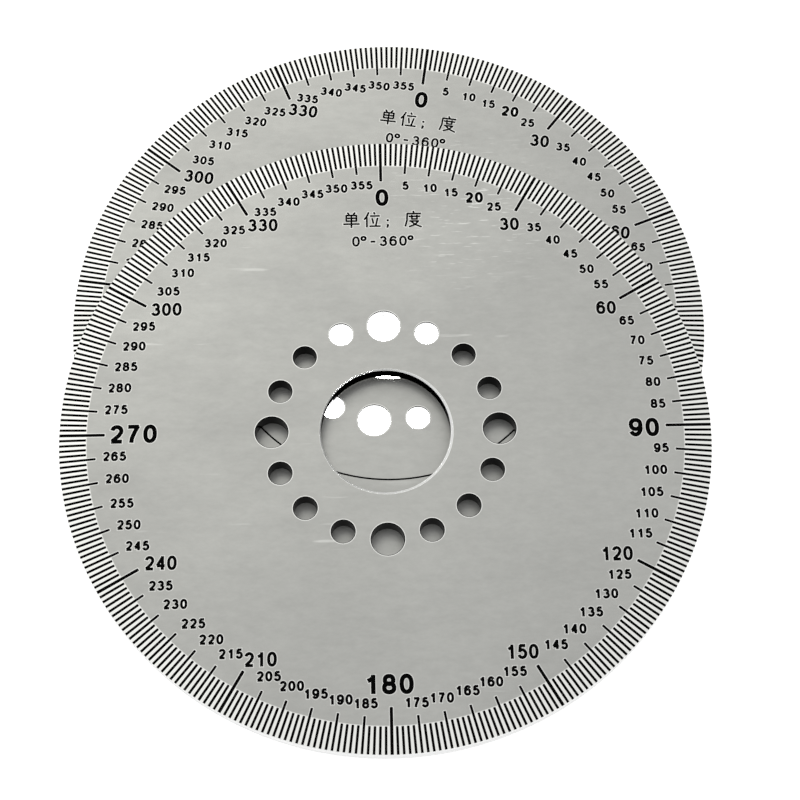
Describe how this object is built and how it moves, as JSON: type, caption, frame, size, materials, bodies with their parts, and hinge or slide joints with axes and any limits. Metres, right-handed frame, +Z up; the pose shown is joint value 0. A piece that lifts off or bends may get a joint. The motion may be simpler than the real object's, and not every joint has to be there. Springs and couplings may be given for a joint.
{
  "type": "rotary table dial plates",
  "caption": "Flat round plates with a degree scale at the rim, a central bore and a ring of through holes. The upper plate lies off-centre on the lower one and turns.",
  "frame": {"origin": "under the middle of the pair, on the surface that the lower plate rests on", "axes": "+Z up through both plates, +Y from the upper plate's centre to its 0 mark, +X to its 90 mark"},
  "size_m": [0.0706, 0.084, 0.004],
  "materials": {
    "plate_steel": "matte brushed, cool light grey",
    "black_mark": "matte black marking of the lines and numerals"
  },
  "bodies": {
    "lower_plate": {"lower_dial_plate": "plate_steel"},
    "upper_plate": {"upper_dial_plate": "plate_steel"}
  },
  "joints": [
    {"name": "dial_turn", "type": "hinge", "parent": "lower_plate", "child": "upper_plate", "pos_m": [-0.00031, -0.00704, 0.00202], "axis": [0, 0, 1], "continuous": true}
  ]
}
